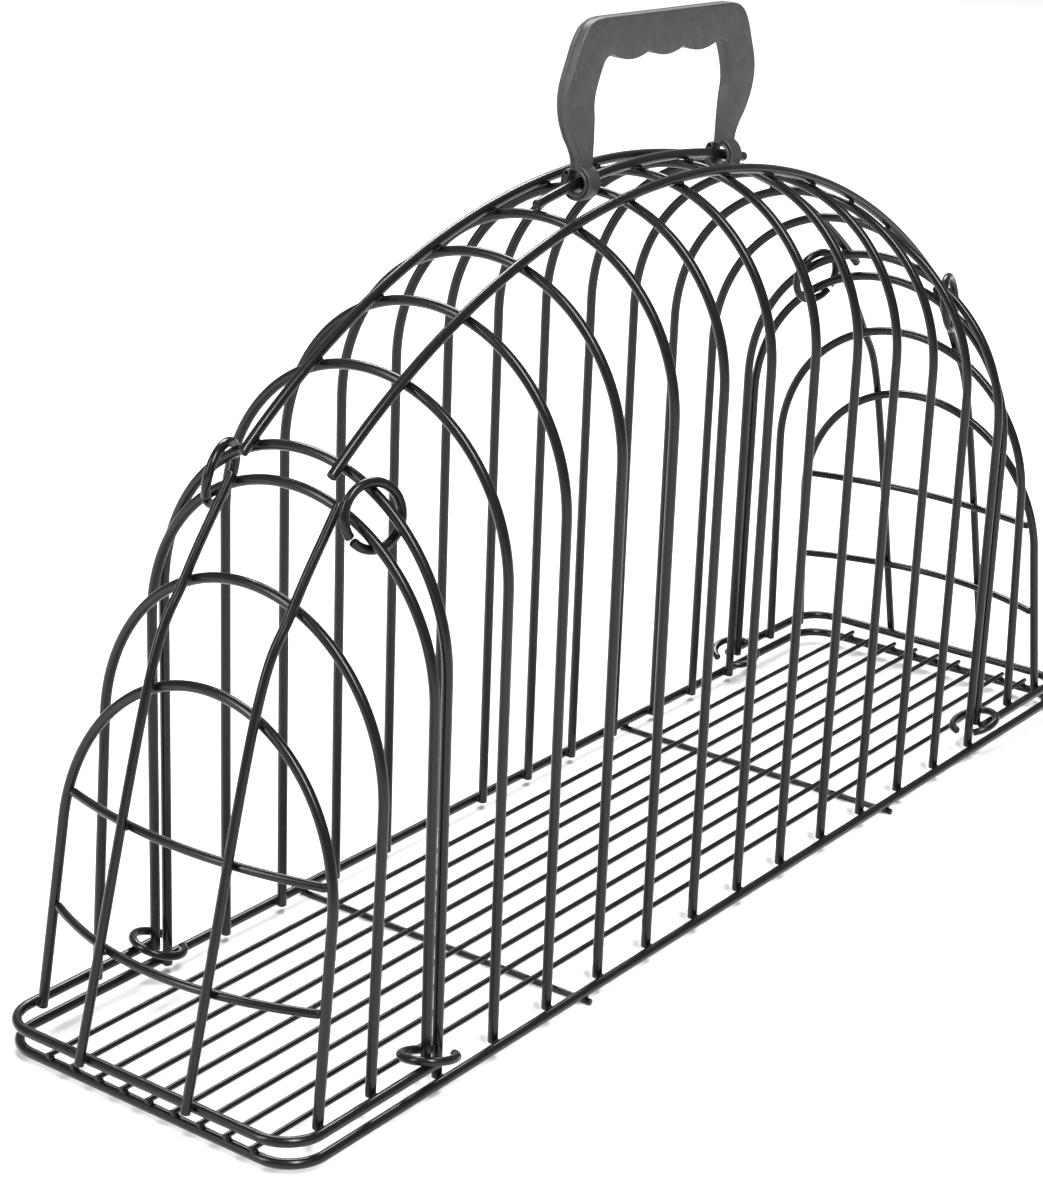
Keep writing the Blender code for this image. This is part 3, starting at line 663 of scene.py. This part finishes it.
def eyeSurface(toWorld, u):
    # a C of constant wall round the rod, carried along u; each end face is inset by a quarter-round edge
    look = handleLook
    soft = look["eyeEdge"]
    turn = np.linspace(0, math.pi / 2, 5)
    inset = np.concatenate([soft * (1 - np.sin(turn)), soft * (1 - np.sin(turn))[::-1]])
    at = np.concatenate([-look["eyeLength"] / 2 + soft * (1 - np.cos(turn)),
                         look["eyeLength"] / 2 - soft * (1 - np.cos(turn))[::-1]])
    angle = np.radians(np.linspace(look["eyeStart"], look["eyeEnd"], 49))
    innerR = look["bore"] + inset[:, None]
    outerR = look["bore"] + look["wall"] - inset[:, None]
    endTurn = np.linspace(-math.pi / 2, math.pi / 2, 9)[1:-1]
    # the free end is a half round lip; the loop runs out along the bore, round the lip and back outside
    centreR, lipR = (innerR + outerR) / 2, (outerR - innerR) / 2
    tip = angle[-1] + lipR * np.cos(endTurn) / centreR
    tipR = centreR + lipR * np.sin(endTurn)
    loopAngle = np.hstack([np.broadcast_to(angle, (len(at), 49)), tip, np.broadcast_to(angle[::-1], (len(at), 49))])
    loopR = np.hstack([np.broadcast_to(innerR, (len(at), 49)), tipR, np.broadcast_to(outerR, (len(at), 49))])
    y, w = loopR * np.cos(loopAngle), loopR * np.sin(loopAngle)
    points = toWorld(u + np.broadcast_to(at[:, None], y.shape), y, w).reshape(-1, 3)
    rows, columns = y.shape
    quads = gridFaces(rows, columns, False)
    i = np.arange(columns // 2)
    cap = np.stack([i, i + 1, columns - 2 - i, columns - 1 - i], 1)
    cap = cap[cap[:, 1] < cap[:, 2]]
    return points, np.vstack([quads, cap, cap[:, ::-1] + (rows - 1) * columns]), np.zeros((0, 3), int)


def joinSurfaces(surfaces):
    points, quads, tris, start = [], [], [], 0
    for p, q, t in surfaces:
        points.append(p)
        quads.append(q + start)
        tris.append(t + start)
        start += len(p)
    return np.vstack(points), np.vstack(quads), np.vstack(tris)


def addHandle():
    joint = next(j for j in frame["record"]["behaviour"]["joints"] if j["name"] == "handle_swing")
    centre, uAxis = np.array(joint["pos_m"]), unit(np.array(joint["axis"], float))
    wAxis = np.cross(uAxis, acrossY)

    def toWorld(u, y, w):
        return centre + u[..., None] * uAxis + y[..., None] * acrossY + w[..., None] * wAxis

    half = handleLook["eyeSpacing"] / 2
    surface = joinSurfaces([bladeSurface(toWorld)] + [eyeSurface(toWorld, s * half) for s in (-1, 1)])
    finishPiece("carryHandle", surface, plastic, "handle", "carry_handle")


addHandle()
print("handle ready")


# studio
studioLook = {
    "floor": "#f4f4f4", "floorPale": "#f8f8f8", "world": "#ffffff", "worldStrength": 0.42,
    "lens": 85.93, "azimuth": 53.94, "elevation": 20.13, "roll": 2.12,
    "camera": (-0.9633, -0.6489, 0.5518), "target": (0.0, 0.0, 0.15),
    # name, place, width and height of the panel, power in watts
    "softboxes": (("keySoftbox", (-1.0, -1.3, 2.4), (0.5, 1.6), 95),
                  ("fillSoftbox", (-2.2, 1.0, 1.5), (0.4, 1.8), 42),
                  ("backSoftbox", (1.4, 1.2, 2.2), (1.6, 0.5), 80)),
}


def paleFloor():
    # matt painted studio board: an even pale grey with the faintest roller texture
    material = bpy.data.materials.new("paintedBoard")
    material.use_nodes = True
    tree = material.node_tree
    shader = tree.nodes["Principled BSDF"]
    place = addNode(tree, "ShaderNodeTexCoord").outputs["Object"]
    tone = addNode(tree, "ShaderNodeTexNoise", Vector=place, Scale=3.0, Detail=2.0)
    colour = addNode(tree, "ShaderNodeMix", {"data_type": "RGBA"}, Factor=tone.outputs["Fac"],
                     n6=toLinear(studioLook["floor"]), n7=toLinear(studioLook["floorPale"]))
    tree.links.new(colour.outputs[2], shader.inputs["Base Color"])
    shader.inputs["Roughness"].default_value = 0.7
    size, count = 12.0, 5
    span = np.linspace(-size, size, count)
    x, y = np.meshgrid(span, span, indexing="ij")
    i, j = np.meshgrid(np.arange(count - 1), np.arange(count - 1), indexing="ij")
    quads = np.stack([i * count + j, (i + 1) * count + j, (i + 1) * count + j + 1, i * count + j + 1], -1)
    floor = makeMesh("studioFloor", np.stack([x, y, np.zeros_like(x)], -1).reshape(-1, 3), quads.reshape(-1, 4))
    floor.data.materials.append(material)
    return floor


def addSoftbox(name, place, target, size, power):
    light = bpy.data.lights.new(name, "AREA")
    light.shape = "RECTANGLE"
    light.size, light.size_y = size
    light.energy = power
    lamp = bpy.data.objects.new(name, light)
    lamp.location = place
    aim = np.array(target) - np.array(place)
    lamp.rotation_mode = "QUATERNION"
    lamp.rotation_quaternion = Vector(aim.tolist()).to_track_quat("-Z", "Y")
    bpy.context.collection.objects.link(lamp)
    return lamp


def addCamera():
    look = studioLook
    a, e, r = (math.radians(look[k]) for k in ("azimuth", "elevation", "roll"))
    forward = np.array([math.cos(e) * math.sin(a), math.cos(e) * math.cos(a), -math.sin(e)])
    right = unit(np.cross(forward, upZ))
    up = np.cross(right, forward)
    turnedRight = right * math.cos(r) + up * math.sin(r)
    turnedUp = -right * math.sin(r) + up * math.cos(r)
    data = bpy.data.cameras.new("studioCamera")
    data.sensor_width = 36.0
    data.lens = look["lens"]
    data.clip_start, data.clip_end = 0.02, 60
    camera = bpy.data.objects.new("studioCamera", data)
    matrix = np.eye(4)
    matrix[:3, 0], matrix[:3, 1], matrix[:3, 2], matrix[:3, 3] = turnedRight, turnedUp, -forward, look["camera"]
    camera.matrix_world = Matrix(matrix.tolist())
    bpy.context.collection.objects.link(camera)
    bpy.context.scene.camera = camera


def addWorld():
    world = bpy.data.worlds.new("studioWorld")
    world.use_nodes = True
    background = world.node_tree.nodes["Background"]
    background.inputs["Color"].default_value = toLinear(studioLook["world"])
    background.inputs["Strength"].default_value = studioLook["worldStrength"]
    bpy.context.scene.world = world


paleFloor()
for boxName, place, size, power in studioLook["softboxes"]:
    addSoftbox(boxName, place, studioLook["target"], size, power)
addWorld()
addCamera()
bpy.context.scene.view_settings.view_transform = "Standard"
print("studio ready")
